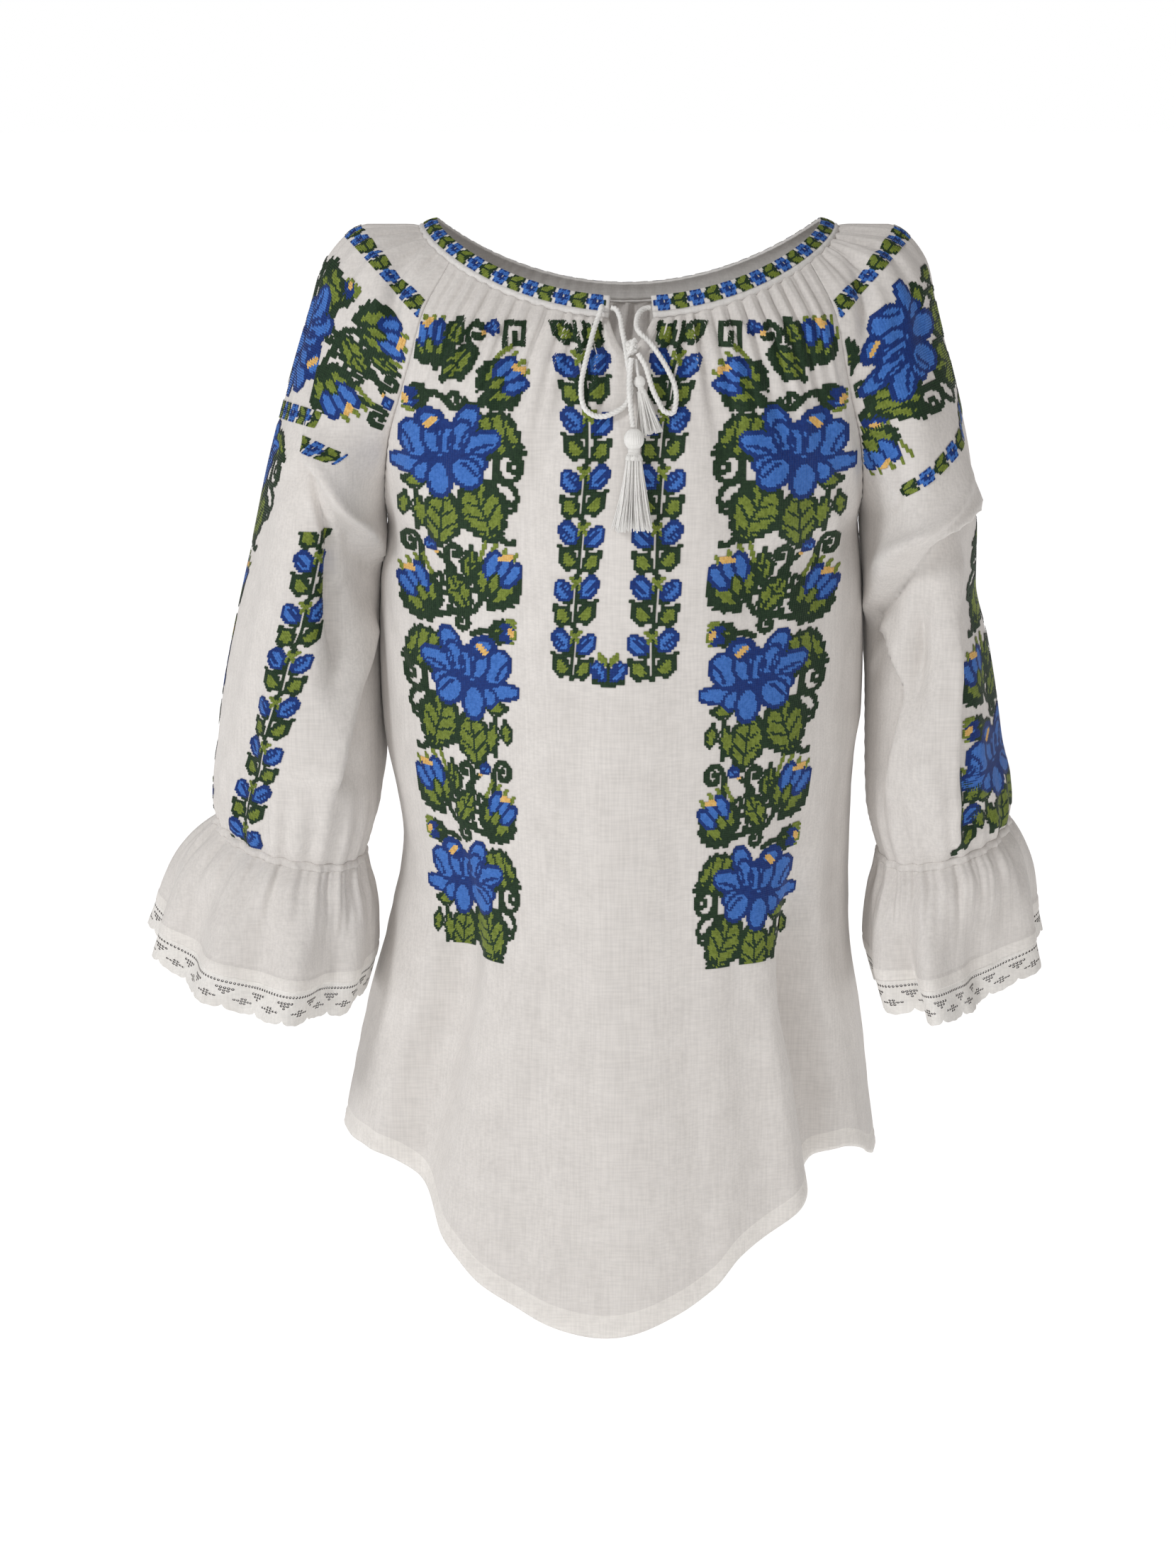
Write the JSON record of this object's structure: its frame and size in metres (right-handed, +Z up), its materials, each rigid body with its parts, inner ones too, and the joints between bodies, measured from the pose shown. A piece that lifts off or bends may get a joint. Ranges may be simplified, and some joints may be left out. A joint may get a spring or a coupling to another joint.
{
  "type": "embroidered peasant blouse",
  "caption": "Thin cotton peasant blouse with raglan sleeves gathered into an embroidered neckband, lace-edged flounces, a tasselled tie and a curved hem, in its worn hollow form.",
  "frame": {"origin": "midway between the shoulders, level with the crest of the neckband, where the wearer carries the blouse", "axes": "+Z up, the front faces -Y, +X is the right of someone who looks at the front"},
  "size_m": [0.5982, 0.2407, 0.6967],
  "materials": {
    "cotton_voile": "matte thin plain weave",
    "neckband_cotton": "matte cotton with cross-stitch",
    "cotton_lace": "matte eyelet lace",
    "cotton_thread": "soft twisted cotton"
  },
  "bodies": {
    "root": {"front": "cotton_voile", "back": "cotton_voile", "sleeve_left": "cotton_voile", "sleeve_right": "cotton_voile", "flounce_left": "cotton_voile", "flounce_right": "cotton_voile", "lace_left": "cotton_lace", "lace_right": "cotton_lace", "neckband": "neckband_cotton", "tie_loop_left": "cotton_thread", "tie_loop_right": "cotton_thread", "tie_knot": "cotton_thread", "tie_tail": "cotton_thread", "tassel_long": "cotton_thread", "tassel_short": "cotton_thread"}
  },
  "joints": []
}
